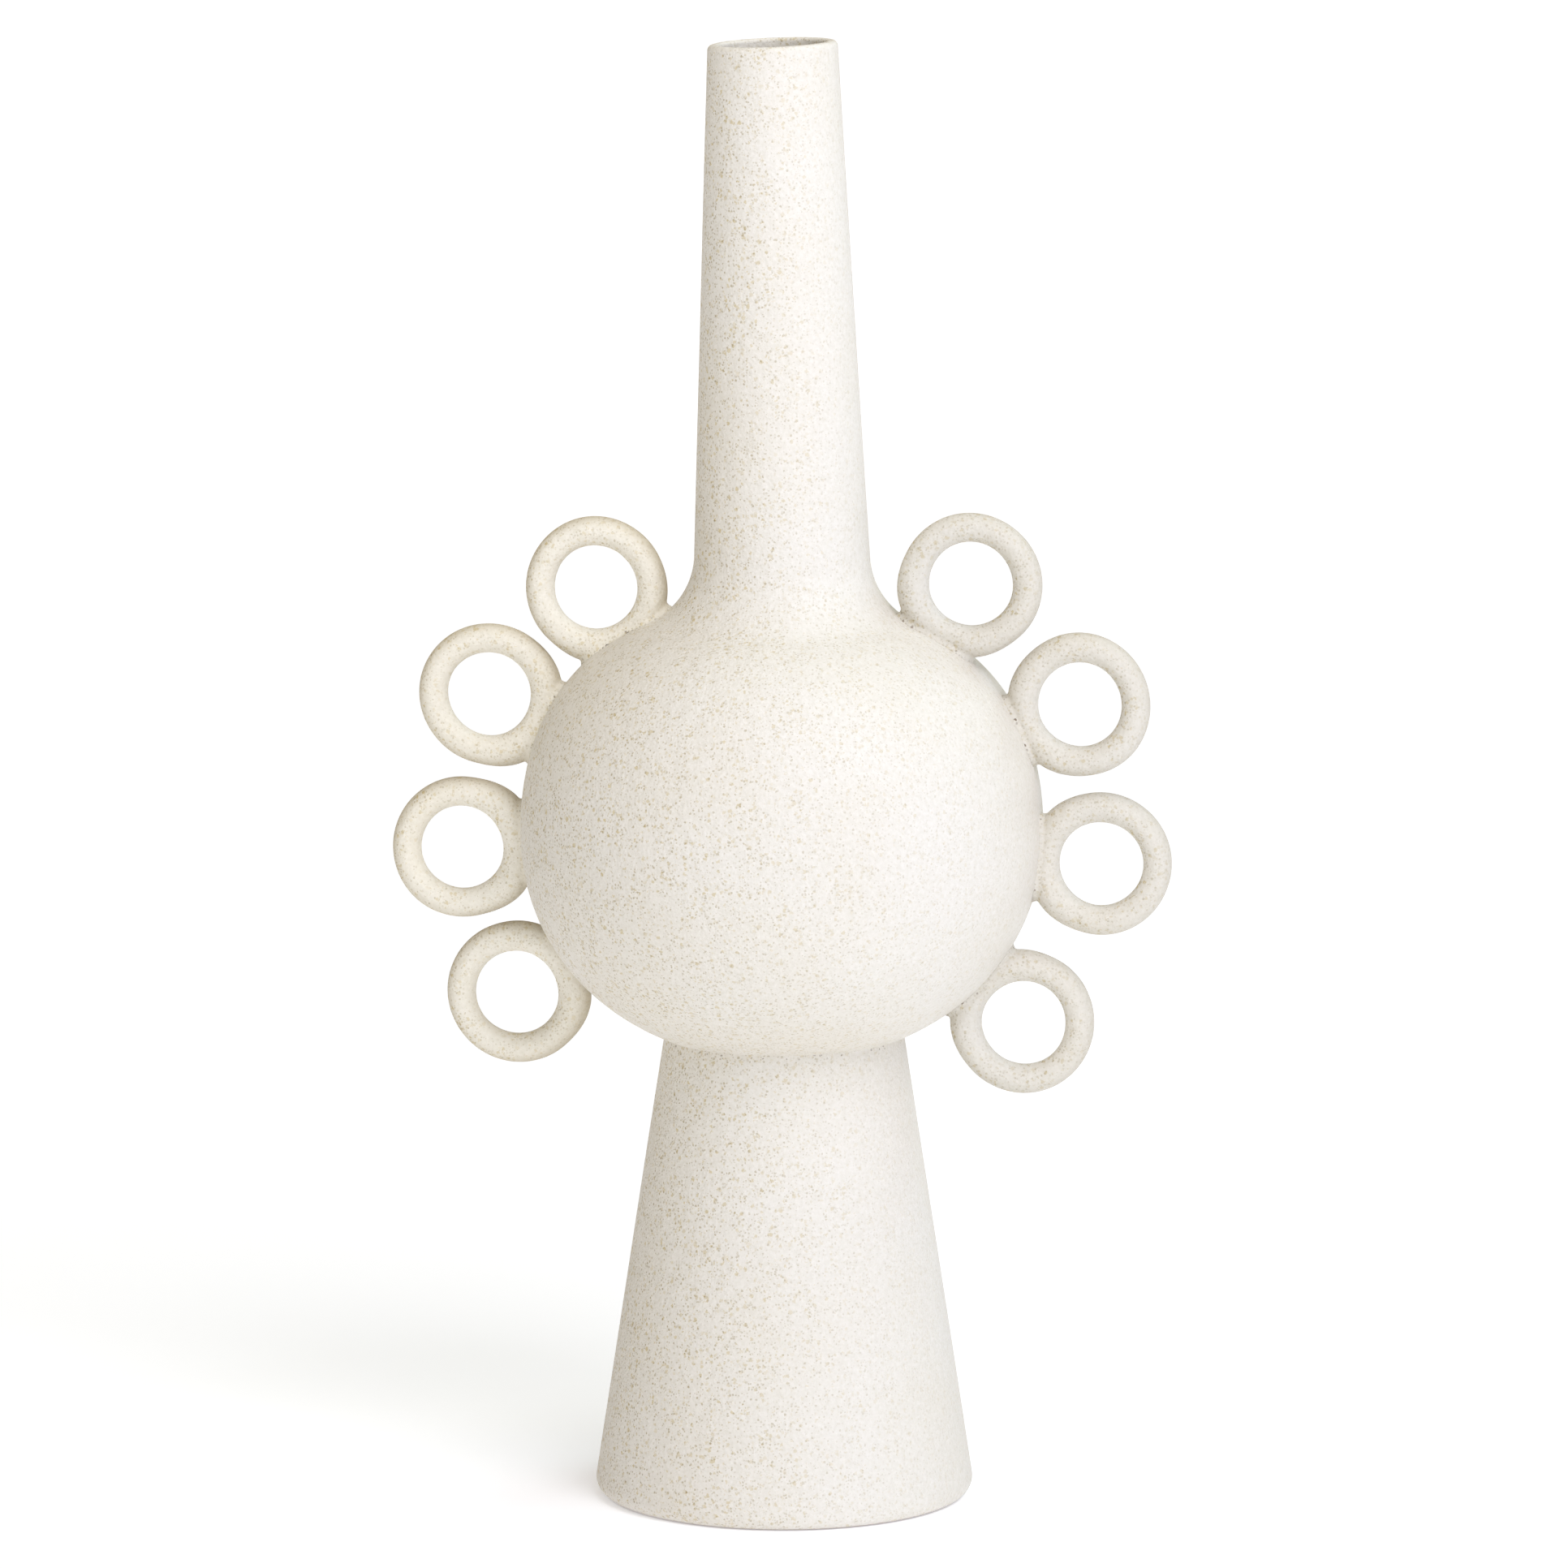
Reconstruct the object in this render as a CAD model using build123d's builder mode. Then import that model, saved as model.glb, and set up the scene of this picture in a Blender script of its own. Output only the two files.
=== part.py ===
"""Tall stoneware vase: a conical foot, a round body, a long tapered neck and eight coil rings.

The vase is built the way a potter builds it, from clay pieces luted face to face:
a hollow foot with a clay disc as its floor, two bowls that make the globe, a tapered tube
for the neck, and four round coils on each side of the globe, all in one upright plane.
The cavity runs from the mouth down to the floor of the foot.

Millimetres, +Z up. The origin is on the table, under the middle of the globe, and +X points
to the side of the rings called "right".
"""
import math
import os

from build123d import *

# Heights above the table, on the vase's axis
mouth_height = 600.0
collar_height = 390.0
belly_height = 276.9
waist_height = 191.9

# Foot
foot_radius = 79.0
waist_radius = 49.4
foot_offset = 0.95
foot_corner_radius = 6.6
foot_wall = 6.0
foot_ring_radius = 64.0
foot_ring_height = 9.0
foot_inner_rounding = 1.5
base_recess = 1.5
waist_bore_radius = 42.5

# Globe: each half is a quarter curve turned about the axis, and fullness is its roundness
globe_radius = 107.4
globe_rise = 94.9
globe_drop = 94.5
upper_fullness = 0.64
lower_fullness = 0.58
globe_wall = 5.5

# Neck: a straight tapered tube that leans a little to the left, on a collar of the globe
collar_radius = 36.15
neck_lean = 1.08
neck_taper = 2.61
neck_wall = 5.5
lip_wall = 4.6
mouth_tilt = 2.3
lip_outer_rounding = 2.3
lip_inner_rounding = 1.6
cut_margin = 8.0

# Rings: centre as (distance from the globe's centre, angle above the horizontal)
coil_radius = 23.3
tube_radius = 5.95
right_rings = [(129.5, 53.1), (134.4, 24.1), (132.2, -4.6), (126.6, -37.7)]
left_rings = [(125.4, 52.1), (132.9, 23.9), (133.5, -4.4), (131.0, -32.5)]

os.makedirs("parts", exist_ok=True)

lean = math.radians(neck_lean)
taper = math.tan(math.radians(neck_taper))
tilt = math.radians(mouth_tilt)
neck_length = (mouth_height - collar_height) / math.cos(lean)
collar_plane = Plane(
    origin=(0, 0, collar_height),
    x_dir=(0, 1, 0),
    z_dir=(-math.sin(lean), 0, math.cos(lean)),
)
mouth_plane = Plane(
    origin=(-neck_length * math.sin(lean), 0, mouth_height),
    x_dir=(0, 1, 0),
    z_dir=(-math.sin(tilt), 0, math.cos(tilt)),
)


def lower_half(inset):
    """Solid lower half of the globe, drawn in by inset from the outer surface."""
    radius = globe_radius - inset
    drop = globe_drop - inset
    with BuildPart() as half:
        with BuildSketch(Plane.YZ):
            with BuildLine():
                Bezier(
                    (radius, belly_height),
                    (radius, belly_height - lower_fullness * drop),
                    (lower_fullness * radius, belly_height - drop),
                    (0, belly_height - drop),
                )
                Polyline((0, belly_height - drop), (0, belly_height), (radius, belly_height))
            make_face()
        revolve(axis=Axis.Z)
    return half.part


def upper_half(inset):
    """Solid upper half of the globe, sweeping up through a hollow arc into the straight collar."""
    radius = globe_radius - inset
    rise = globe_rise - inset
    root = (collar_radius - inset, collar_height)
    top = (collar_radius - inset - taper * cut_margin, collar_height + cut_margin)
    with BuildPart() as half:
        with BuildSketch(Plane.YZ):
            with BuildLine():
                dome = Bezier(
                    (radius, belly_height),
                    (radius, belly_height + upper_fullness * rise),
                    (upper_fullness * radius, belly_height + rise),
                    (0, belly_height + rise),
                    mode=Mode.PRIVATE,
                )
                hollow = DoubleTangentArc(root, (taper, -1), dome)
                add(dome.trim(0, hollow @ 1))
                Polyline(root, top, (0, top[1]), (0, belly_height), (radius, belly_height))
            make_face()
        revolve(axis=Axis.Z)
    return half.part


def save(builder, name):
    """Label one finished piece and write it as a STEP file."""
    builder.part.label = name
    export_step(builder.part, f"parts/{name}.step")


globe_lower_solid = lower_half(0)
globe_upper_solid = upper_half(0)

# Foot: hollow cone, its upper end cut to the round of the globe that stands on it
foot_plane = Plane(origin=(foot_offset, 0, 0), x_dir=(1, 0, 0), z_dir=(0, -1, 0))
foot_slope = (foot_radius - waist_radius) / waist_height
foot_top = waist_height + cut_margin
with BuildPart() as foot:
    with BuildSketch(foot_plane):
        with BuildLine():
            Polyline(
                (foot_ring_radius, 0),
                (foot_radius, 0),
                (foot_radius - foot_slope * foot_top, foot_top),
                (foot_radius - foot_wall - foot_slope * foot_top, foot_top),
                (foot_radius - foot_wall - foot_slope * foot_ring_height, foot_ring_height),
                (foot_ring_radius, foot_ring_height),
                close=True,
            )
        make_face()
        bottom = vertices().group_by(Axis.Y)[0].sort_by(Axis.X)
        fillet(bottom[-1], foot_corner_radius)
        inner_bottom = vertices().group_by(Axis.Y)[0].sort_by(Axis.X)
        fillet(inner_bottom[0], foot_inner_rounding)
    revolve(axis=Axis((foot_offset, 0, 0), (0, 0, 1)))
    add(globe_lower_solid, mode=Mode.SUBTRACT)
save(foot, "foot")

# Foot floor: a clay disc luted inside the lower end of the foot, a little above the table
with BuildPart() as foot_floor:
    with BuildSketch(Plane(origin=(foot_offset, 0, base_recess))):
        Circle(foot_ring_radius)
    extrude(amount=foot_ring_height - base_recess)
save(foot_floor, "foot_floor")

# Globe: lower bowl, open at the waist, and upper bowl with its collar
with BuildPart() as globe_lower:
    add(globe_lower_solid)
    add(lower_half(globe_wall), mode=Mode.SUBTRACT)
    with BuildSketch(Plane.XY):
        Circle(waist_bore_radius)
    extrude(amount=belly_height, mode=Mode.SUBTRACT)
save(globe_lower, "globe_lower")

with BuildPart() as globe_upper:
    add(globe_upper_solid)
    add(upper_half(globe_wall), mode=Mode.SUBTRACT)
    split(bisect_by=collar_plane, keep=Keep.BOTTOM)
save(globe_upper, "globe_upper")

bore_taper = math.degrees(math.atan(taper - (neck_wall - lip_wall) / neck_length))

# Neck: tapered tube from the collar to the mouth, its rim cut a little off square and rounded
with BuildPart() as neck:
    with BuildSketch(collar_plane):
        Circle(collar_radius)
    extrude(amount=neck_length + cut_margin, taper=neck_taper)
    with BuildSketch(collar_plane):
        Circle(collar_radius - neck_wall)
    extrude(amount=neck_length + cut_margin, taper=bore_taper, mode=Mode.SUBTRACT)
    split(bisect_by=mouth_plane, keep=Keep.BOTTOM)
    rim = neck.faces().sort_by(Axis.Z)[-1]
    fillet(rim.outer_wire().edges(), lip_outer_rounding)
    lip = neck.faces().filter_by(GeomType.PLANE).sort_by(Axis.Z)[-1]
    fillet(lip.inner_wires()[0].edges(), lip_inner_rounding)
save(neck, "neck")


def make_ring(name, side, distance, angle):
    """Round coil pressed onto the globe: side is 1 on the right and -1 on the left."""
    ring_x = side * distance * math.cos(math.radians(angle))
    ring_z = belly_height + distance * math.sin(math.radians(angle))
    with BuildPart() as ring:
        with BuildSketch(Plane(origin=(ring_x + side * coil_radius, 0, ring_z), x_dir=(side, 0, 0))):
            Circle(tube_radius)
        revolve(axis=Axis((ring_x, 0, ring_z), (0, 1, 0)))
        add(globe_lower_solid, mode=Mode.SUBTRACT)
        add(globe_upper_solid, mode=Mode.SUBTRACT)
    save(ring, name)


for number, (distance, angle) in enumerate(right_rings, start=1):
    make_ring(f"ring_right_{number}", 1, distance, angle)
for number, (distance, angle) in enumerate(left_rings, start=1):
    make_ring(f"ring_left_{number}", -1, distance, angle)
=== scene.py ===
"""Looks of the tall stoneware vase: smooth hand-finished meshes, a speckled matt glaze, soft studio light.

Metres, +Z up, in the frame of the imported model. Each clay piece of the vase is its own object, made
here from the same outline as its CAD piece, and stands for that piece.
"""
import math

import bpy
import numpy as np
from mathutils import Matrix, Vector


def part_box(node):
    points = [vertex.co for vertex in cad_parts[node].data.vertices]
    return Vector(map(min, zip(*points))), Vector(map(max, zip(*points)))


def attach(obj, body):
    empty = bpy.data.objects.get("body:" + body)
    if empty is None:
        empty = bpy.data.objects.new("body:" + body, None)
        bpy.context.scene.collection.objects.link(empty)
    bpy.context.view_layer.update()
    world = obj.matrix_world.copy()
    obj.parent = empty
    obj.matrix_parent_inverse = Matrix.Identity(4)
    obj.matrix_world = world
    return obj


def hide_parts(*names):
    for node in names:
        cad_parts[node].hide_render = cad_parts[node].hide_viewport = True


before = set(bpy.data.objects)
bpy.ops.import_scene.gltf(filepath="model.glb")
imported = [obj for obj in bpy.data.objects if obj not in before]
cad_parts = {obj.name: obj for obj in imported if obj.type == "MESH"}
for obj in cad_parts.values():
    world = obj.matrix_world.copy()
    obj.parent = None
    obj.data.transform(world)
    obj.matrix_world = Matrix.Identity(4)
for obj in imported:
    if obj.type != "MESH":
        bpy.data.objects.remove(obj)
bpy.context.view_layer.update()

# Sizes read from the frame
foot_low, foot_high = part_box("foot")
globe_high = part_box("globe_lower")[1]
BELLY_HEIGHT = globe_high.z
GLOBE_RADIUS = globe_high.x
FOOT_OFFSET = (foot_low.x + foot_high.x) / 2

# Outline of the clay pieces
MOUTH_HEIGHT = 0.600
COLLAR_HEIGHT = 0.390
WAIST_HEIGHT = 0.1919
FOOT_RADIUS = 0.0790
WAIST_RADIUS = 0.0494
FOOT_CORNER = 0.0066
FOOT_WALL = 0.0060
FOOT_INNER_TOP = WAIST_HEIGHT - 0.0027
FOOT_RING_RADIUS = 0.0640
FOOT_RING_HEIGHT = 0.0090
FOOT_INNER_ROUNDING = 0.0015
BASE_RECESS = 0.0015
WAIST_BORE = 0.0425
GLOBE_RISE = 0.0949
GLOBE_DROP = 0.0945
UPPER_FULLNESS = 0.64
LOWER_FULLNESS = 0.58
GLOBE_WALL = 0.0055
COLLAR_RADIUS = 0.03615
NECK_LEAN = math.radians(1.08)
NECK_TAPER = math.tan(math.radians(2.61))
NECK_WALL = 0.0055
LIP_WALL = 0.0046
MOUTH_TILT = math.radians(2.3)
LIP_OUTER_ROUNDING = 0.0023
LIP_INNER_ROUNDING = 0.0016
COIL_RADIUS = 0.0233
TUBE_RADIUS = 0.00595

# Floor disc of the foot: rings of points on its faces, play at its edge, easing of the edge, unevenness below
DISC_RINGS = (0.0008, 0.012, 0.024, 0.036, 0.048, 0.058)
DISC_PLAY = 0.0001
DISC_EASING = 0.0004
DISC_RIPPLE = 0.00018
DISC_RIPPLE_TURN = 1100

# Clay drawn out beside the root of each ring: width of the webs above and below it, from the top ring down,
# and the angle from the root where they start, the angle over which they grow, and their fading at the root
RIGHT_WEBS = ((0.0014, 0.0015), (0.0008, 0.0009), (0.0010, 0.0016), (0.0015, 0.0013))
LEFT_WEBS = ((0.0008, 0.0022), (0.0012, 0.0023), (0.0024, 0.0022), (0.0009, 0.0019))
WEB_START = math.radians(80)
WEB_RUN = math.radians(45)
WEB_FADE = math.radians(30)

# Root of a ring: radius of the hollow round it, and how far clay goes under the skin of its neighbour
ROOT_FILLET = 0.0018
ROOT_DEPTH = 0.0004

# Filled slots: narrower than this many fillet radii, between skins whose directions have a lower cosine
SLOT_WIDTH = 1.9
SLOT_FACING = -0.93

# Seams: distance over which seam_near fades, and height of the finely meshed band under the waist
SEAM_FADE = 0.0030
SEAM_BAND = 0.008

# Slow unevenness of thrown clay: its depth, and each wave's share, ups and downs a turn, climb and start
WAVE = 0.00035
WAVES = ((0.34, 2, 9, 0.6), (0.26, 3, -21, 2.1), (0.22, 1, 47, 4.0), (0.18, 5, 33, 1.2))

# Unevenness of a rolled coil: swelling a quarter turn from the root, roundness, sway out of its plane, and
# thickness as shares of TUBE_RADIUS
COIL_SWELLING = 0.0004
COIL_ROUNDNESS = 0.0001
COIL_SWAY = 0.00035
COIL_TWIST = 0.0002
COIL_THICKNESS = 0.985
COIL_PINCH = 0.010
COIL_LUMPS = 0.005

# Fineness of the meshes
AROUND = 384
CURVE_POINTS = 1200
SWEEP_POINTS = 60
STEP = 0.0014
SEAM_STEP = 0.0005
SIDE_STEP = 0.003
BORE_STEP = 0.004
FOOT_BORE_STEP = 0.006
COIL_STEPS = 288
TUBE_STEPS = 72
SHARP_ANGLE = math.radians(40)

# Search for the shoulder's sweep
SWEEP_SMALLEST = 0.005
SWEEP_LARGEST = 0.2
SWEEP_HALVINGS = 60

# Search for the skin of a ring: step and number of steps out from the coil's line, halvings of the last step,
# moves of the ball along the crease, and limits that keep the moves and the rays in hand
ROOT_STEP = 0.0004
ROOT_STEPS = 36
ROOT_HALVINGS = 7
BALL_MOVES = 8
LEAST_SPREAD = 0.02
LEAST_CLIMB = 0.03

# Colours of glaze and clay, as red, green and blue, with 1 behind them where a shader takes them as they are
GLAZE = (0.786, 0.754, 0.700)
GLAZE_CREAM = (0.770, 0.730, 0.660)
GRAIN = (0.93, 0.925, 0.90, 1)
DOT = (0.61, 0.55, 0.42, 1)
BLOTCH = (0.80, 0.715, 0.50, 1)
# Painted shade: darker tan for the outer edge of the coils, where they turn away from the front light
EDGE_SHADE = (0.74, 0.70, 0.62, 1)
FLECK = (0.17, 0.115, 0.07, 1)
CLAY = (0.42, 0.34, 0.25, 1)
CLAY_DARK = (0.26, 0.19, 0.13, 1)
BODY_TINT = (1.0, 1.0, 1.0)
# The rings' tints: the left rings' glaze is brightened as painted light, the right rings' glaze darkened as
# painted shade
LEFT_PAINTED_LIGHT = (1.08, 1.075, 1.035)
RIGHT_PAINTED_SHADE = (0.89, 0.885, 0.865)

# Specks: strength in the middle and its fall towards +X, which is painted light that washes the specks out on
# the side facing the key light, radius of the smallest and the spread of radii as shares of the stated
# radius, strength of the faintest, and strength of the dots on the rings
SPECK_MIDDLE = 0.72
SPECK_FALL_PAINTED_LIGHT = -0.50
SPECK_SMALLEST = 0.5
SPECK_SPREAD = 0.7
SPECK_FAINTEST = 0.35
RING_DOT_STRENGTH = 0.8

# Height up to which the foot's lower end is wiped free of glaze
BARE_HEIGHT = 0.0006

# Rings of each side: name, direction along X, tint of painted light (left) and painted shade (right) on the
# glaze, share of the painted shade on the coils' outer edge, webs
SIDES = (
    ("right", 1, RIGHT_PAINTED_SHADE, 0.3, RIGHT_WEBS),
    ("left", -1, LEFT_PAINTED_LIGHT, 1.0, LEFT_WEBS),
)

# Camera
PHOTO_AZIMUTH = math.radians(8.5)
PHOTO_ELEVATION = math.radians(9.15)
CAMERA_DISTANCE = 4.1216
CAMERA_LENS = 231.06
SENSOR_WIDTH = 36.0
AIM_HEIGHT = 0.2960
AIM_SHIFT = 0.0008

# Floor: half its width, its white, its glow, and what is added to the glow from GLOW_START to GLOW_END
FLOOR_SIZE = 12.0
FLOOR_WHITE = (0.93, 0.93, 0.93, 1)
FLOOR_GLOW = (0.274, 0.279, 0.305)
FLOOR_GLOW_FAR = (0.463, 0.477, 0.491)
GLOW_START = 0.6
GLOW_END = 4.0

# Lights: name, azimuth and elevation in degrees, and red, green and blue power as shares of LIGHT_UNIT watts
LIGHT_SIZE = 1.5
LIGHT_DISTANCE = 2.6
LIGHT_AIM = 0.3
LIGHT_UNIT = 100
LIGHTS = (
    ("key", 35, 45, (0.251, 0.252, 0.278)),
    ("side_fill", 60, 10, (0.056, 0.066, 0.102)),
    ("top", 0, 88, (0.167, 0.168, 0.157)),
    ("rim", 125, 45, (0.107, 0.138, 0.154)),
)

# Room round the vase, what is added to it in front, and the cosine at which the front begins
ROOM = (0.300, 0.255, 0.185)
ROOM_FRONT = (0.791, 0.869, 0.972)
FRONT_START = 0.3


# ---------------------------------------------------------------- outlines

def bezier(p0, p1, p2, p3, count):
    """Points of a cubic curve, as an array of (radius, height)."""
    t = np.linspace(0, 1, count)[:, None]
    p0, p1, p2, p3 = (np.array(p, float) for p in (p0, p1, p2, p3))
    return (1 - t) ** 3 * p0 + 3 * (1 - t) ** 2 * t * p1 + 3 * (1 - t) * t ** 2 * p2 + t ** 3 * p3


def half_globe_curve(inset, up):
    """Quarter outline of the globe from the belly to the pole, drawn in by inset."""
    radius = GLOBE_RADIUS - inset
    if up:
        rise, fullness = GLOBE_RISE - inset, UPPER_FULLNESS
    else:
        rise, fullness = inset - GLOBE_DROP, LOWER_FULLNESS
    return bezier(
        (radius, BELLY_HEIGHT),
        (radius, BELLY_HEIGHT + fullness * rise),
        (fullness * radius, BELLY_HEIGHT + rise),
        (0, BELLY_HEIGHT + rise),
        CURVE_POINTS,
    )


def arc(centre, radius, start, end, count):
    """Points of an arc, angles in radians."""
    a = np.linspace(start, end, count)
    return np.stack([centre[0] + radius * np.cos(a), centre[1] + radius * np.sin(a)], 1)


def shoulder_curve(inset):
    """Outline of the upper bowl from the belly up to the collar, with its hollow sweep."""
    dome = half_globe_curve(inset, up=True)
    root = np.array([COLLAR_RADIUS - inset, COLLAR_HEIGHT])
    outward = np.array([1, NECK_TAPER]) / math.hypot(1, NECK_TAPER)
    # the sweep is the arc that runs on from the neck's side and just touches the dome
    low, high = SWEEP_SMALLEST, SWEEP_LARGEST
    for _ in range(SWEEP_HALVINGS):
        radius = (low + high) / 2
        centre = root + outward * radius
        gap = np.min(np.hypot(*(dome - centre).T)) - radius
        low, high = (radius, high) if gap > 0 else (low, radius)
    touch = int(np.argmin(np.hypot(*(dome - centre).T)))
    start = math.atan2(*(dome[touch] - centre)[::-1])
    end = math.atan2(*(root - centre)[::-1])
    return np.concatenate([dome[:touch], arc(centre, radius, start, end, SWEEP_POINTS)])


def resample(points, step):
    """The same open line with evenly spaced points."""
    length = np.r_[0, np.cumsum(np.hypot(*np.diff(points, axis=0).T))]
    count = max(2, int(round(length[-1] / step)) + 1)
    s = np.linspace(0, length[-1], count)
    return np.stack([np.interp(s, length, points[:, i]) for i in (0, 1)], 1)


def waviness(angle, height):
    """Slow unevenness of thrown clay, from -1 to 0, the same for every piece so that edges meet."""
    wave = sum(share * np.sin(turns * angle + climb * height + start) for share, turns, climb, start in WAVES)
    return (wave - 1) / 2


# ---------------------------------------------------------------- meshes

def make_object(name, verts, faces, material, **attributes):
    """A smooth-shaded mesh object. seam_near is 1 on a luted seam and fades away from it; the mask of painted
    shade on a coil's outer edge is 1 on the outermost line of a coil and fades to 0 on its front and back."""
    mesh = bpy.data.meshes.new(name)
    mesh.from_pydata([tuple(v) for v in verts], [], faces)
    mesh.update()
    mesh.validate()
    mesh.polygons.foreach_set("use_smooth", np.ones(len(mesh.polygons), bool))
    mesh.set_sharp_from_angle(angle=SHARP_ANGLE)
    for key, values in attributes.items():
        mesh.attributes.new(key, "FLOAT", "POINT").data.foreach_set("value", values)
    obj = bpy.data.objects.new(name, mesh)
    bpy.context.scene.collection.objects.link(obj)
    obj.data.materials.append(material)
    return obj


def grid_faces(rows, columns):
    """Faces of a grid of points that is closed on itself both ways."""
    faces = []
    for i in range(rows):
        a, b = i * columns, (i + 1) % rows * columns
        for j in range(columns):
            k = (j + 1) % columns
            faces.append((a + j, a + k, b + k, b + j))
    return faces


def lathe(name, outline, material, wave, place=None, seam=None):
    """Turns a closed outline of (radius, height) round the axis. place maps x, y, z to their final place."""
    angle = np.linspace(0, 2 * math.pi, AROUND, endpoint=False)
    radius = outline[:, 0][:, None] + wave * waviness(angle[None, :], outline[:, 1][:, None])
    x = radius * np.cos(angle)
    y = radius * np.sin(angle)
    z = np.repeat(outline[:, 1][:, None], AROUND, 1)
    if place:
        x, y, z = place(x, y, z)
    verts = np.stack([x, y, z], -1).reshape(-1, 3)
    attributes = {} if seam is None else {"seam_near": np.repeat(seam, AROUND)}
    return make_object(name, verts, grid_faces(len(outline), AROUND), material, **attributes)


def stand_in(piece, slot, *nodes):
    """The piece rides on the vase's one body and stands for CAD nodes."""
    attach(piece, "root")
    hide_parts(*nodes)


# ---------------------------------------------------------------- turned pieces

def foot_piece(material):
    """Hollow cone with a rounded lower corner, on a flat ring. Its top goes just under the globe's skin."""
    slope = (FOOT_RADIUS - WAIST_RADIUS) / WAIST_HEIGHT
    lean = math.atan(slope)
    # rounded outer corner: its circle touches the ground line and the cone's side
    corner_x = FOOT_RADIUS - FOOT_CORNER * (slope + 1 / math.cos(lean))
    corner = arc((corner_x, FOOT_CORNER), FOOT_CORNER, -math.pi / 2, lean, count=16)
    band_edge = (WAIST_RADIUS + slope * SEAM_BAND, WAIST_HEIGHT - SEAM_BAND)
    side = resample(np.array([corner[-1], band_edge]), SIDE_STEP)
    top = (WAIST_RADIUS - slope * ROOT_DEPTH, WAIST_HEIGHT + ROOT_DEPTH)
    seam_band = resample(np.array([band_edge, top]), SEAM_STEP)
    inner_top = (WAIST_RADIUS - FOOT_WALL, FOOT_INNER_TOP)
    inner_bottom = (FOOT_RADIUS - FOOT_WALL - slope * FOOT_RING_HEIGHT, FOOT_RING_HEIGHT)
    inner = resample(np.array([inner_top, inner_bottom]), FOOT_BORE_STEP)
    ledge = np.array([(FOOT_RING_RADIUS, FOOT_RING_HEIGHT)])
    rounding_centre = (FOOT_RING_RADIUS + FOOT_INNER_ROUNDING, FOOT_INNER_ROUNDING)
    ring_inner = arc(rounding_centre, FOOT_INNER_ROUNDING, math.pi, 1.5 * math.pi, count=6)
    outline = np.concatenate([corner, side[1:], seam_band[1:], inner, ledge, ring_inner])
    seam = np.exp(np.minimum(outline[:, 1] - WAIST_HEIGHT, 0) / SEAM_FADE)

    def place(x, y, z):
        return x + FOOT_OFFSET, y, z

    piece = lathe("foot_clay", outline, material, WAVE, place, seam)
    stand_in(piece, "speckled_glaze", "foot")


def floor_disc_piece(material):
    """Clay disc inside the foot, with eased edges and a slightly uneven underside."""
    low, high = BASE_RECESS, FOOT_RING_HEIGHT
    edge = FOOT_RING_RADIUS - DISC_PLAY
    rings = [*DISC_RINGS, edge - DISC_EASING]
    under = np.array([(r, low) for r in rings])
    over = np.array([(r, high) for r in reversed(rings)])
    outline = np.concatenate([under, [(edge, low + DISC_EASING), (edge, high - DISC_EASING)], over])

    def place(x, y, z):
        ripple = DISC_RIPPLE * np.sin(np.hypot(x, y) * DISC_RIPPLE_TURN) * (z < (low + high) / 2)
        return x + FOOT_OFFSET, y, z + ripple

    piece = lathe("foot_floor_clay", outline, material, 0.0, place)
    stand_in(piece, "bare_clay", "foot_floor")


def globe_lower_piece(material):
    """Lower bowl of the globe, open at the waist."""
    outer = half_globe_curve(0, up=False)[::-1]
    outer = resample(outer[outer[:, 0] >= WAIST_BORE], STEP)
    inner = half_globe_curve(GLOBE_WALL, up=False)
    inner = resample(inner[inner[:, 0] >= WAIST_BORE], BORE_STEP)
    piece = lathe("globe_lower_clay", np.concatenate([outer, inner]), material, WAVE)
    stand_in(piece, "speckled_glaze", "globe_lower")


def globe_upper_piece(material):
    """Upper bowl of the globe, with its shoulder and collar."""
    outer = resample(shoulder_curve(0), STEP)
    inner = resample(shoulder_curve(GLOBE_WALL), BORE_STEP)[::-1]
    piece = lathe("globe_upper_clay", np.concatenate([outer, inner]), material, WAVE)
    stand_in(piece, "speckled_glaze", "globe_upper")


def neck_piece(material):
    """Tapered tube with a rounded lip. It leans to the left, and its mouth is a little off level."""
    length = MOUTH_HEIGHT - COLLAR_HEIGHT
    mouth_radius = COLLAR_RADIUS - NECK_TAPER * length
    slant = math.atan(NECK_TAPER)
    outer_x = mouth_radius - LIP_OUTER_ROUNDING * (1 - math.sin(slant))
    outer_centre = (outer_x, MOUTH_HEIGHT - LIP_OUTER_ROUNDING)
    outer_lip = arc(outer_centre, LIP_OUTER_ROUNDING, slant, math.pi / 2, count=14)
    bore_radius = mouth_radius - LIP_WALL
    inner_centre = (bore_radius + LIP_INNER_ROUNDING, MOUTH_HEIGHT - LIP_INNER_ROUNDING)
    inner_lip = arc(inner_centre, LIP_INNER_ROUNDING, math.pi / 2, math.pi, count=12)
    side = resample(np.array([(COLLAR_RADIUS, COLLAR_HEIGHT), outer_lip[0]]), STEP)
    bore = resample(np.array([inner_lip[-1], (COLLAR_RADIUS - NECK_WALL, COLLAR_HEIGHT)]), BORE_STEP)
    outline = np.concatenate([side[:-1], outer_lip, inner_lip[1:], bore[1:]])

    def place(x, y, z):
        along = (z - COLLAR_HEIGHT) / length
        return x - along * length * math.tan(NECK_LEAN), y, z + along * x * math.tan(MOUTH_TILT)

    piece = lathe("neck_clay", outline, material, WAVE, place)
    stand_in(piece, "speckled_glaze", "neck")


# ---------------------------------------------------------------- rings

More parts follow.
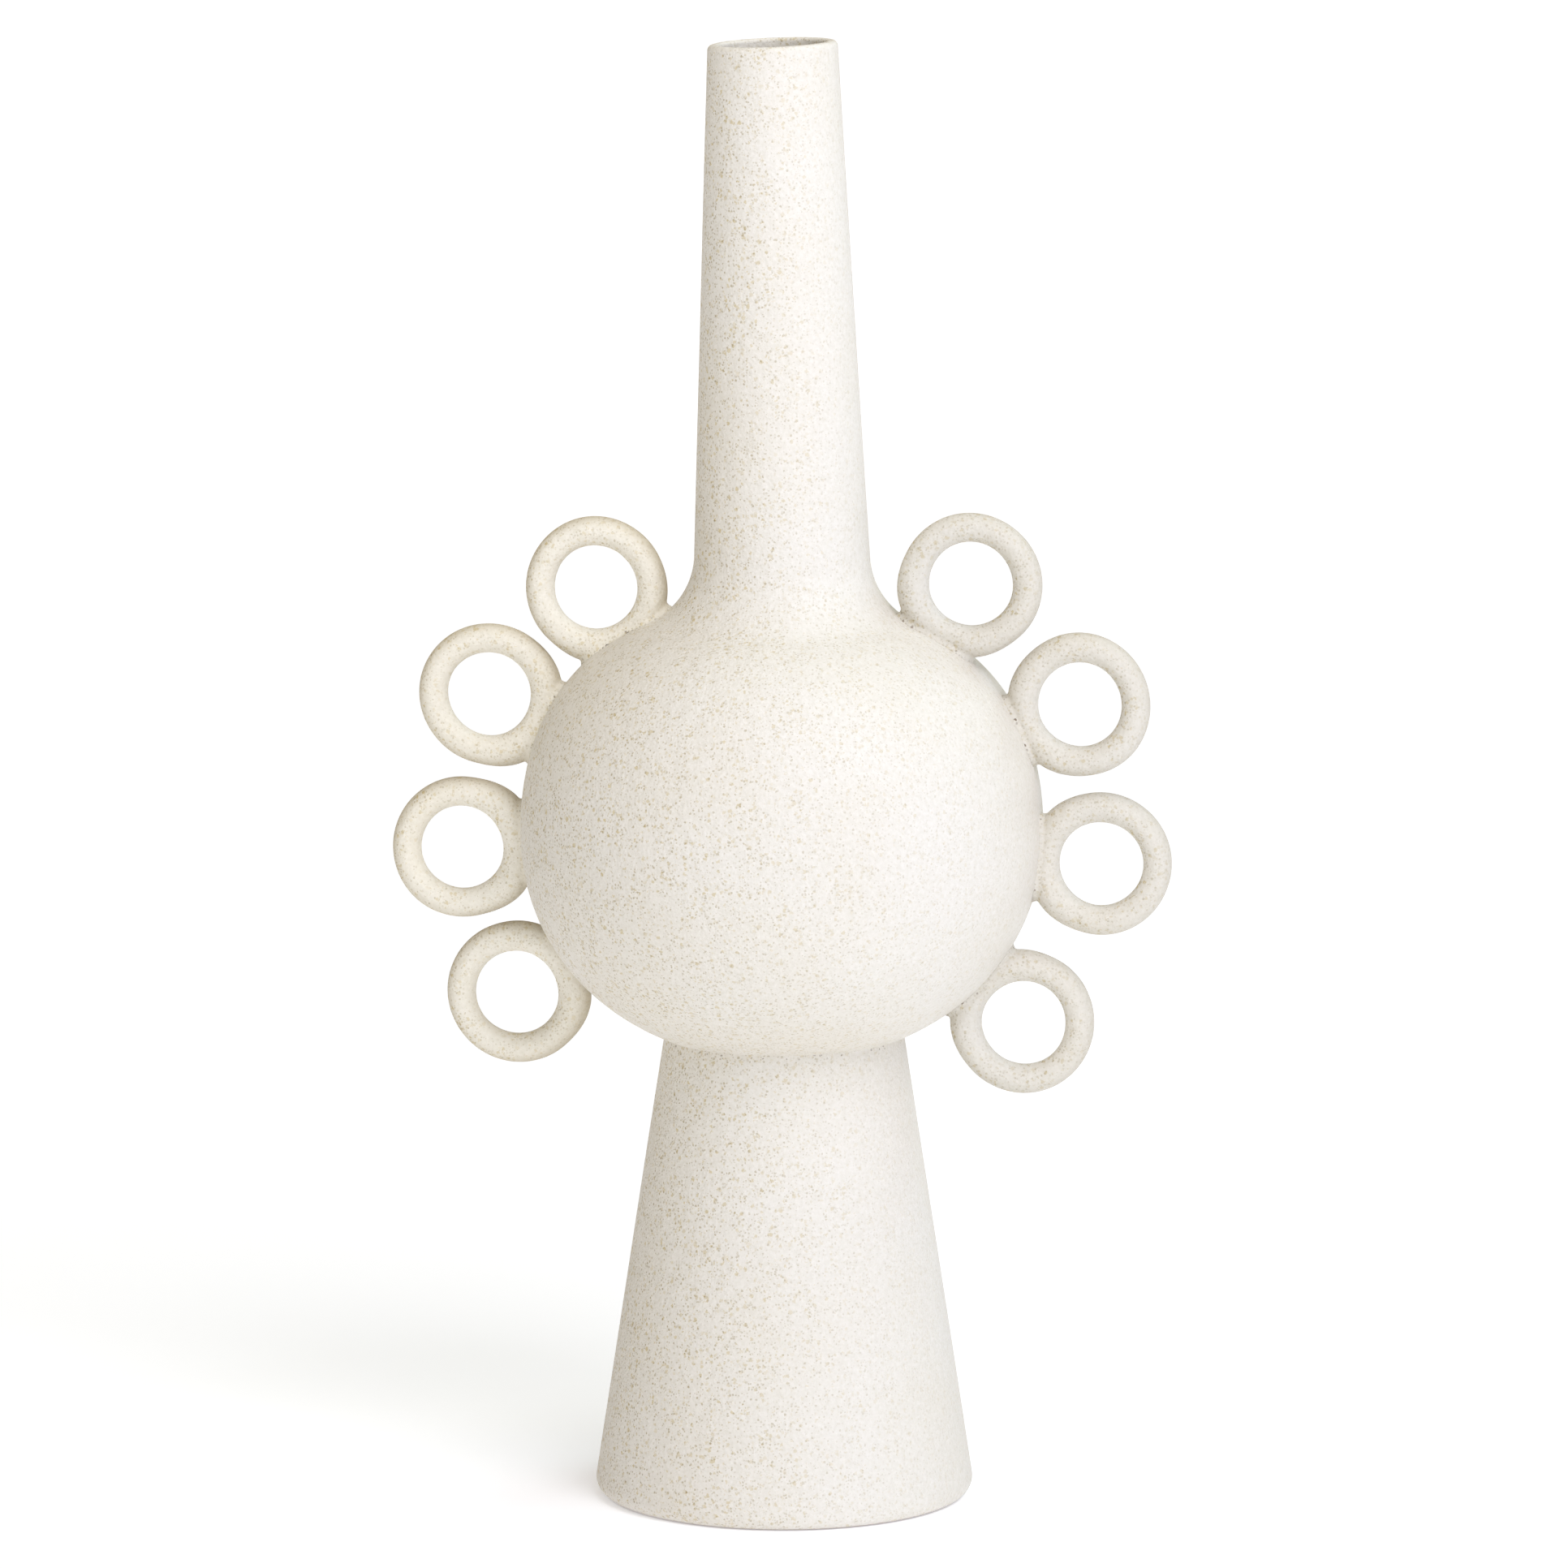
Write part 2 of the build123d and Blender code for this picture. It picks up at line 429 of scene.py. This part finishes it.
class Globe:
    """Height above the outer skin of globe and shoulder, read from a grid of radius and height."""

    CELL = 0.0005
    SHAPE = (200, 420)
    SMALLEST_RADIUS = 0.045
    BELOW_BELLY = 0.1
    LINE_STEP = 0.0004
    BATCH = 4000
    INSIDE_LAST_CELL = 1.001

    def __init__(self):
        lower = half_globe_curve(0, up=False)[::-1]
        upper = shoulder_curve(0)
        line = resample(np.concatenate([lower, upper[1:]]), self.LINE_STEP)
        tangent = np.gradient(line, axis=0)
        tangent /= np.hypot(*tangent.T)[:, None]
        normal = np.stack([tangent[:, 1], -tangent[:, 0]], 1)
        self.corner = np.array([self.SMALLEST_RADIUS, BELLY_HEIGHT - self.BELOW_BELLY])
        r = self.corner[0] + self.CELL * np.arange(self.SHAPE[0])
        z = self.corner[1] + self.CELL * np.arange(self.SHAPE[1])
        grid = np.stack(np.meshgrid(r, z, indexing="ij"), -1).reshape(-1, 2)
        table = np.empty((len(grid), 3))
        for start in range(0, len(grid), self.BATCH):
            part = grid[start:start + self.BATCH]
            near = ((part[:, None, :] - line[None]) ** 2).sum(-1).argmin(1)
            gap = ((part - line[near]) * normal[near]).sum(1)
            table[start:start + self.BATCH] = np.column_stack([gap, normal[near]])
        self.table = table.reshape(*self.SHAPE, 3)

    def gap(self, points):
        """Height above the skin and the direction away from it, at each point."""
        radius = np.hypot(points[:, 0], points[:, 1])
        angle = np.arctan2(points[:, 1], points[:, 0])
        flat = np.stack([radius - WAVE * waviness(angle, points[:, 2]), points[:, 2]], 1)
        at = np.clip((flat - self.corner) / self.CELL, 0, np.array(self.SHAPE) - self.INSIDE_LAST_CELL)
        cell = at.astype(int)
        fr, fz = (at - cell).T[:, :, None]
        i, j = cell.T
        low = self.table[i, j] * (1 - fz) + self.table[i, j + 1] * fz
        high = self.table[i + 1, j] * (1 - fz) + self.table[i + 1, j + 1] * fz
        height, out, up = (low * (1 - fr) + high * fr).T
        return height, np.stack([out * np.cos(angle), out * np.sin(angle), up], 1)


class Coil:
    """A hand-rolled round coil in the plane y = 0: its thickness, roundness and plane waver a little, and
    beside its root the clay is drawn out into webs. webs holds their width above and below the root."""

    def __init__(self, centre, webs, seed):
        self.centre = centre
        self.inward = math.atan2(BELLY_HEIGHT - centre[2], -centre[0])
        self.webs = webs if centre[0] < 0 else webs[::-1]
        self.phase = np.random.default_rng(seed).uniform(0, 2 * math.pi, 6)

    def wobble(self, u):
        """Radius, sideways sway and thickness of the coil at angle u."""
        p = self.phase
        turn = np.angle(np.exp(1j * (u - self.inward)))
        rise = np.clip((WEB_START - np.abs(turn)) / WEB_RUN, 0, 1)
        fade = np.clip(np.abs(turn) / WEB_FADE, 0, 1)
        web = np.where(turn > 0, *self.webs) * rise ** 2 * (3 - 2 * rise) * fade
        web = web + COIL_SWELLING * np.sin(turn) ** 2
        radius = COIL_RADIUS + COIL_ROUNDNESS * (np.sin(2 * u + p[0]) + np.sin(3 * u + p[1]) - 2) + web / 2
        sway = COIL_SWAY * np.sin(u + p[2]) + COIL_TWIST * np.sin(2 * u + p[3])
        rolled = COIL_THICKNESS + COIL_PINCH * np.sin(2 * u + p[4]) + COIL_LUMPS * np.sin(5 * u + p[5])
        return radius, sway, TUBE_RADIUS * rolled + web / 2

    def gap(self, points):
        """Height above the coil's skin and the direction away from it, at each point."""
        local = points - self.centre
        u = np.arctan2(local[:, 2], local[:, 0])
        radius, sway, thick = self.wobble(u)
        along = np.hypot(local[:, 0], local[:, 2]) - radius
        across = local[:, 1] - sway
        reach = np.hypot(along, across)
        out = np.stack([along * np.cos(u), across, along * np.sin(u)], 1) / reach[:, None]
        return reach - thick, out


def fillet_gap(points, coil, globe):
    """Height above coil and globe joined by a rounded fillet, as a ball rolled along the crease leaves it."""
    a, away_a = coil.gap(points)
    b, away_b = globe.gap(points)
    skin = np.minimum(a, b + ROOT_DEPTH)
    crease = np.flatnonzero((a < 2 * ROOT_FILLET) & (b < 2 * ROOT_FILLET))
    if not len(crease):
        return skin
    start = points[crease]
    ball = start
    near_a, near_b, away_a, away_b = a[crease], b[crease], away_a[crease], away_b[crease]
    # a slot between skins that face each other, too narrow for the ball, is filled
    slot = near_a + near_b - SLOT_WIDTH * ROOT_FILLET
    narrow = ((away_a * away_b).sum(1) < SLOT_FACING) & (slot < 0)
    # elsewhere the ball's centre is moved until it is one fillet radius away from both skins
    for _ in range(BALL_MOVES):
        cosine = (away_a * away_b).sum(1)
        spread = np.clip(1 - cosine ** 2, LEAST_SPREAD, None)
        move_a = ((ROOT_FILLET - near_a) - cosine * (ROOT_FILLET - near_b)) / spread
        move_b = ((ROOT_FILLET - near_b) - cosine * (ROOT_FILLET - near_a)) / spread
        move = away_a * move_a[:, None] + away_b * move_b[:, None]
        length = np.sqrt((move ** 2).sum(1))
        ball = ball + move * (ROOT_FILLET / np.maximum(length, ROOT_FILLET))[:, None]
        near_a, away_a = coil.gap(ball)
        near_b, away_b = globe.gap(ball)
    shift = ball - start
    cosine = (away_a * away_b).sum(1)
    along_a = (shift * away_a).sum(1)
    along_b = (shift * away_b).sum(1)
    between_both = (along_a > cosine * along_b) & (along_b > cosine * along_a)
    rolled = ROOT_FILLET - np.sqrt((shift ** 2).sum(1))
    skin[crease] = np.where(narrow, slot, np.where(between_both, rolled, skin[crease]))
    return skin


def cast_rays(start, direction, travel, coil, globe):
    """Where rays out of the coil's line reach its skin or that of the fillet, or sink into the globe."""

    def ended(index, distance):
        points = start[index] + direction[index] * distance[:, None]
        height, away = globe.gap(points)
        sinking = (height < -ROOT_DEPTH) & ((direction[index] * away).sum(1) < LEAST_CLIMB)
        return sinking | (fillet_gap(points, coil, globe) > 0)

    # only rays that leave the coil close to the globe need a search for their end
    near = np.flatnonzero(globe.gap(start + direction * travel[:, None])[0] < 3 * ROOT_FILLET)
    inside = travel[near] / 2
    live = np.ones(len(near), bool)
    for _ in range(ROOT_STEPS):
        index = np.flatnonzero(live)
        step = inside[index] + ROOT_STEP
        stop = ended(near[index], step)
        inside[index[~stop]] = step[~stop]
        live[index[stop]] = False
    low_end, high_end = inside, inside + ROOT_STEP
    for _ in range(ROOT_HALVINGS):
        middle = (low_end + high_end) / 2
        stop = ended(near, middle)
        low_end, high_end = np.where(stop, low_end, middle), np.where(stop, middle, high_end)
    travel[near] = low_end
    return start + direction * travel[:, None]


def ring_piece(node, side, webs, seed, globe, material):
    """A coil ring with its root spread onto the globe, made by rays cast out from the coil's own line."""
    low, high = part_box(node)
    outer = COIL_RADIUS + TUBE_RADIUS
    centre = np.array([(high.x - outer) if side > 0 else (low.x + outer), 0.0, high.z - outer])
    coil = Coil(centre, webs, seed)
    u = np.linspace(0, 2 * math.pi, COIL_STEPS, endpoint=False)
    v = np.linspace(0, 2 * math.pi, TUBE_STEPS, endpoint=False)
    radius, sway, thick = coil.wobble(u)
    radial = np.stack([np.cos(u), np.zeros_like(u), np.sin(u)], 1)
    sideways = np.array([0, 1, 0])
    line = coil.centre + radial * radius[:, None] + sideways * sway[:, None]
    start = np.repeat(line, TUBE_STEPS, 0)
    direction = (radial[:, None] * np.cos(v)[:, None] + sideways * np.sin(v)[:, None]).reshape(-1, 3)
    verts = cast_rays(start, direction, np.repeat(thick, TUBE_STEPS), coil, globe)
    # what would lie deep in the globe's wall is lifted to just under its skin
    height, away = globe.gap(verts)
    verts += away * np.clip(-ROOT_DEPTH - height, 0, None)[:, None]
    faces = [(a, d, c, b) for a, b, c, d in grid_faces(COIL_STEPS, TUBE_STEPS)]
    seam_near = np.exp(-np.clip(height, 0, None) / SEAM_FADE)
    # mask of the painted shade on the coil's outer edge
    outer_edge = np.tile(np.clip(np.cos(v), 0, 1), COIL_STEPS)
    piece = make_object(node + "_clay", verts, faces, material, seam_near=seam_near, outer_edge=outer_edge)
    stand_in(piece, "speckled_glaze", node)


# ---------------------------------------------------------------- shader nodes

def add(tree, kind, inputs=None, **settings):
    """One shader node. inputs are values, or the sockets that feed it."""
    made = tree.nodes.new("ShaderNode" + kind)
    for key, value in settings.items():
        setattr(made, key, value)
    for key, value in (inputs or {}).items():
        if isinstance(value, bpy.types.NodeSocket):
            tree.links.new(value, made.inputs[key])
        else:
            made.inputs[key].default_value = value
    return made


def maths(tree, operation, a, b=0.0, c=0.0, clamp=False):
    """A sum on numbers or sockets."""
    return add(tree, "Math", {0: a, 1: b, 2: c}, operation=operation, use_clamp=clamp).outputs[0]


def times(tree, a, b, clamp=False):
    """Two numbers or sockets multiplied."""
    return maths(tree, "MULTIPLY", a, b, clamp=clamp)


def ramp(tree, value, slope, start, clamp=False):
    """slope times the value, plus start."""
    return maths(tree, "MULTIPLY_ADD", value, slope, start, clamp=clamp)


def mix(tree, factor, a, b, blend="MIX"):
    """Two colours mixed."""
    return add(tree, "Mix", {0: factor, 6: a, 7: b}, data_type="RGBA", blend_type=blend).outputs[2]


def stained(tree, factor, colour, stain):
    """The colour multiplied by a stain, as far as factor says."""
    return mix(tree, factor, colour, mix(tree, 1.0, colour, stain, "MULTIPLY"))


def noise(tree, coords, size, detail, seed):
    """Noise node with bumps about size metres across."""
    moved = add(tree, "VectorMath", {0: coords, 1: (seed, 2 * seed, -seed)}, operation="ADD").outputs[0]
    return add(tree, "TexNoise", {"Vector": moved, "Scale": 1 / size, "Detail": detail})


def bumps(tree, coords, size, detail, seed):
    """Smooth noise from 0 to 1 with bumps about size metres across."""
    return noise(tree, coords, size, detail, seed).outputs[0]


def between(tree, value, low, high):
    """0 below low, 1 above high, straight in between."""
    return add(tree, "MapRange", {"Value": value, "From Min": low, "From Max": high}, clamp=True).outputs[0]


def warped(tree, coords, size, amount):
    """Coordinates pushed about, so that round specks come out uneven."""
    push = noise(tree, coords, size, detail=2.0, seed=0.0).outputs["Color"]
    centred = add(tree, "VectorMath", {0: push, 1: (0.5, 0.5, 0.5)}, operation="SUBTRACT").outputs[0]
    scaled = add(tree, "VectorMath", {0: centred, "Scale": amount}, operation="SCALE").outputs[0]
    return add(tree, "VectorMath", {0: coords, 1: scaled}, operation="ADD").outputs[0]


def specks(tree, coords, spacing, radius, presence, soft, seed):
    """Specks where the skin cuts little balls scattered in space: 0 off a speck, up to 1 inside. presence is
    the share of the balls that show, and soft is the width of a speck's edge."""
    moved = add(tree, "VectorMath", {0: coords, 1: (seed, -seed, 3 * seed)}, operation="ADD").outputs[0]
    cells = add(tree, "TexVoronoi", {"Vector": moved, "Scale": 1 / spacing})
    parts = add(tree, "SeparateColor", {"Color": cells.outputs["Color"]})
    spread, smallest = SPECK_SPREAD * radius / spacing, SPECK_SMALLEST * radius / spacing
    size = ramp(tree, parts.outputs["Green"], spread, smallest)
    edge = maths(tree, "SUBTRACT", size, cells.outputs["Distance"])
    disc = maths(tree, "DIVIDE", edge, soft / spacing, clamp=True)
    chosen = maths(tree, "LESS_THAN", parts.outputs["Red"], presence)
    strength = ramp(tree, parts.outputs["Blue"], 1 - SPECK_FAINTEST, SPECK_FAINTEST)
    return times(tree, times(tree, disc, chosen), strength)


def blank_material(name):
    """A new material, with its node tree and its shader."""
    material = bpy.data.materials.new(name)
    material.use_nodes = True
    return material, material.node_tree, material.node_tree.nodes["Principled BSDF"]


def finish_surface(tree, shader, colour, roughness, specular, relief, strength, distance):
    """Colour, gloss and fine relief of a surface."""
    tree.links.new(colour, shader.inputs["Base Color"])
    shader.inputs["Roughness"].default_value = roughness
    shader.inputs["Specular IOR Level"].default_value = specular
    bump = add(tree, "Bump", {"Strength": strength, "Distance": distance, "Height": relief})
    tree.links.new(bump.outputs[0], shader.inputs["Normal"])


# ---------------------------------------------------------------- materials

def glaze_coat(tree, coords, near, painted_light_tint, edge_shade_share):
    """The glaze without specks: off-white to cream, creamier at seams, and darkened towards tan on the outer
    edge of coils as painted shade.
    """
    # the tint brightens the glaze as painted light or darkens it as painted shade
    white = (*(a * b for a, b in zip(GLAZE, painted_light_tint)), 1)
    cream = (*(a * b for a, b in zip(GLAZE_CREAM, painted_light_tint)), 1)
    creamy = between(tree, bumps(tree, coords, size=0.07, detail=2.0, seed=1.7), low=0.35, high=0.7)
    colour = mix(tree, creamy, white, cream)
    # painted shade: the outer edge of each coil is darkened towards tan
    edge = add(tree, "Attribute", attribute_name="outer_edge").outputs["Fac"]
    colour = stained(tree, times(tree, maths(tree, "POWER", edge, 2.0), edge_shade_share), colour, EDGE_SHADE)
    colour = mix(tree, between(tree, near, low=0.25, high=1.0), colour, cream)
    grain = between(tree, bumps(tree, coords, size=0.0016, detail=2.0, seed=2.3), low=0.30, high=0.70)
    return mix(tree, grain, mix(tree, 1.0, colour, GRAIN, "MULTIPLY"), colour)


def glaze_specks(tree, coords, near, colour, dot_strength):
    """Soft beige blotches and fine tan dots in loose clusters, paler as painted light on skin facing +X, and
    dark flecks along the luted seams.
    """
    # painted light: specks are washed out on skin facing +X, towards the key light, and stronger on skin
    # facing -X
    facing = add(tree, "SeparateXYZ", {0: add(tree, "NewGeometry").outputs["Normal"]}).outputs["X"]
    strength = ramp(tree, facing, SPECK_FALL_PAINTED_LIGHT, SPECK_MIDDLE)
    clump = between(tree, bumps(tree, coords, size=0.011, detail=3.0, seed=0.3), low=0.36, high=0.60)
    near_wide = maths(tree, "POWER", near, 0.25)
    crowd = ramp(tree, near_wide, slope=0.35, start=clump, clamp=True)

    rough_coords = warped(tree, coords, size=0.0010, amount=0.0022)
    share = ramp(tree, crowd, slope=0.60, start=0.25)
    blotches = specks(
        tree, rough_coords, spacing=0.0020, radius=0.00090, presence=share, soft=0.0003, seed=0.11
    )
    colour = stained(tree, times(tree, blotches, strength, clamp=True), colour, BLOTCH)

    fine_coords = warped(tree, coords, size=0.0009, amount=0.0009)
    share = ramp(tree, crowd, slope=0.40, start=0.50)
    dots = specks(tree, fine_coords, spacing=0.0012, radius=0.00050, presence=share, soft=0.00015, seed=0.37)
    dots = times(tree, dots, times(tree, strength, dot_strength), clamp=True)
    colour = stained(tree, dots, colour, DOT)

    flecks = specks(tree, fine_coords, spacing=0.0021, radius=0.00062, presence=0.75, soft=0.00015, seed=0.73)
    at_seam = times(tree, flecks, between(tree, near, low=0.50, high=0.72))
    return mix(tree, times(tree, at_seam, 0.9), colour, FLECK)


def speckled_glaze(name, painted_light_tint, edge_shade_share, dot_strength):
    """Matt off-white glaze with specks, wiped off the face that the vase stands on; its tint adds painted
    light or painted shade, and the coils' outer edges get painted shade.
    """
    material, tree, shader = blank_material(name)
    coords = add(tree, "TexCoord").outputs["Object"]
    near = add(tree, "Attribute", attribute_name="seam_near").outputs["Fac"]
    colour = glaze_coat(tree, coords, near, painted_light_tint, edge_shade_share)
    colour = glaze_specks(tree, coords, near, colour, dot_strength)
    height = add(tree, "SeparateXYZ", {0: coords}).outputs["Z"]
    colour = mix(tree, maths(tree, "LESS_THAN", height, BARE_HEIGHT), colour, CLAY)
    peel = bumps(tree, coords, size=0.0013, detail=2.0, seed=0.9)
    slow = bumps(tree, coords, size=0.008, detail=1.0, seed=0.2)
    relief = ramp(tree, slow, slope=1.5, start=peel)
    finish_surface(
        tree, shader, colour, roughness=0.56, specular=0.32, relief=relief, strength=1.0, distance=0.0004
    )
    return material


def bare_clay():
    """Unglazed buff stoneware: mottled, rough, with small dark grains."""
    material, tree, shader = blank_material("bare_clay")
    coords = add(tree, "TexCoord").outputs["Object"]
    mottle = between(tree, bumps(tree, coords, size=0.012, detail=4.0, seed=0.5), low=0.3, high=0.7)
    colour = mix(tree, times(tree, mottle, 0.35), CLAY, CLAY_DARK)
    grains = specks(tree, coords, spacing=0.0022, radius=0.0006, presence=0.5, soft=0.0002, seed=0.61)
    colour = mix(tree, grains, colour, CLAY_DARK)
    grit = bumps(tree, coords, size=0.0015, detail=3.0, seed=0.4)
    finish_surface(
        tree, shader, colour, roughness=0.9, specular=0.2, relief=grit, strength=0.5, distance=0.0003
    )
    return material


def stage_white():
    """Matt white that glows a little, and more with distance from the vase."""
    material, tree, shader = blank_material("stage_white")
    shader.inputs["Base Color"].default_value = FLOOR_WHITE
    shader.inputs["Roughness"].default_value = 1.0
    shader.inputs["Specular IOR Level"].default_value = 0.0
    coords = add(tree, "TexCoord").outputs["Object"]
    away = add(tree, "VectorMath", {0: coords}, operation="LENGTH").outputs["Value"]
    near_glow = (*FLOOR_GLOW, 1)
    far_glow = (*(a + b for a, b in zip(FLOOR_GLOW, FLOOR_GLOW_FAR)), 1)
    glow = mix(tree, between(tree, away, GLOW_START, GLOW_END), near_glow, far_glow)
    tree.links.new(glow, shader.inputs["Emission Color"])
    shader.inputs["Emission Strength"].default_value = 1.0
    return material


# ---------------------------------------------------------------- stage, camera, light

def link_facing(obj, azimuth, elevation, target, distance):
    """Links an object and turns it to face target from a distance. Azimuth 0 is in front of the vase, and
    angles are in radians."""
    bpy.context.scene.collection.objects.link(obj)
    back = Vector((
        math.sin(azimuth) * math.cos(elevation),
        -math.cos(azimuth) * math.cos(elevation),
        math.sin(elevation),
    ))
    obj.location = target + back * distance
    obj.rotation_mode = "QUATERNION"
    obj.rotation_quaternion = (-back).to_track_quat("-Z", "Y")


def make_camera():
    """The camera, with a long lens, aimed a little to the right of the vase's axis."""
    data = bpy.data.cameras.new("camera")
    data.sensor_width = SENSOR_WIDTH
    data.lens = CAMERA_LENS
    data.clip_start = 0.1
    data.clip_end = 60
    camera = bpy.data.objects.new("camera", data)
    right = Vector((math.cos(PHOTO_AZIMUTH), math.sin(PHOTO_AZIMUTH), 0))
    aim = Vector((0, 0, AIM_HEIGHT)) + right * AIM_SHIFT
    link_facing(camera, PHOTO_AZIMUTH, PHOTO_ELEVATION, aim, CAMERA_DISTANCE)
    bpy.context.scene.camera = camera


def make_stage():
    """A wide white floor."""
    size = FLOOR_SIZE
    verts = [(-size, -size, 0), (size, -size, 0), (size, size, 0), (-size, size, 0)]
    material = stage_white()
    make_object("studio_floor", verts, [(0, 1, 2, 3)], material)


def area_light(name, azimuth, elevation, power):
    """A round soft light aimed at the globe, from an azimuth and elevation in degrees."""
    data = bpy.data.lights.new(name, "AREA")
    data.shape = "DISK"
    data.size = LIGHT_SIZE
    data.energy = LIGHT_UNIT * max(power)
    data.color = [p / max(power) for p in power]
    lamp = bpy.data.objects.new(name, data)
    aim = Vector((0, 0, LIGHT_AIM))
    link_facing(lamp, math.radians(azimuth), math.radians(elevation), aim, LIGHT_DISTANCE)


def make_world():
    """A dim warm room, with a bright white side in front of the vase."""
    world = bpy.data.worlds.new("studio_world")
    bpy.context.scene.world = world
    world.use_nodes = True
    tree = world.node_tree
    direction = add(tree, "TexCoord").outputs["Generated"]
    front = (math.sin(PHOTO_AZIMUTH), -math.cos(PHOTO_AZIMUTH), 0)
    facing = add(tree, "VectorMath", {0: direction, 1: front}, operation="DOT_PRODUCT").outputs["Value"]
    bright = (*(a + b for a, b in zip(ROOM, ROOM_FRONT)), 1)
    colour = mix(tree, between(tree, facing, low=FRONT_START, high=1.0), (*ROOM, 1), bright)
    tree.links.new(colour, tree.nodes["Background"].inputs["Color"])


make_camera()
make_stage()
make_world()
for light in LIGHTS:
    area_light(*light)

glaze = speckled_glaze("speckled_glaze", BODY_TINT, edge_shade_share=0.0, dot_strength=1.0)
clay = bare_clay()
foot_piece(glaze)
floor_disc_piece(clay)
globe_lower_piece(glaze)
globe_upper_piece(glaze)
neck_piece(glaze)

globe_skin = Globe()
for side_name, side, painted_light_tint, edge_shade_share, side_webs in SIDES:
    # the left rings get a copy of the glaze brightened with painted light, the right rings a copy darkened
    # with painted shade
    ring_glaze = speckled_glaze(f"speckled_glaze_{side_name}", painted_light_tint, edge_shade_share, RING_DOT_STRENGTH)
    for number, webs in enumerate(side_webs, start=1):
        ring_piece(f"ring_{side_name}_{number}", side, webs, 10 * number + side, globe_skin, ring_glaze)

bpy.context.scene.view_settings.view_transform = "Standard"
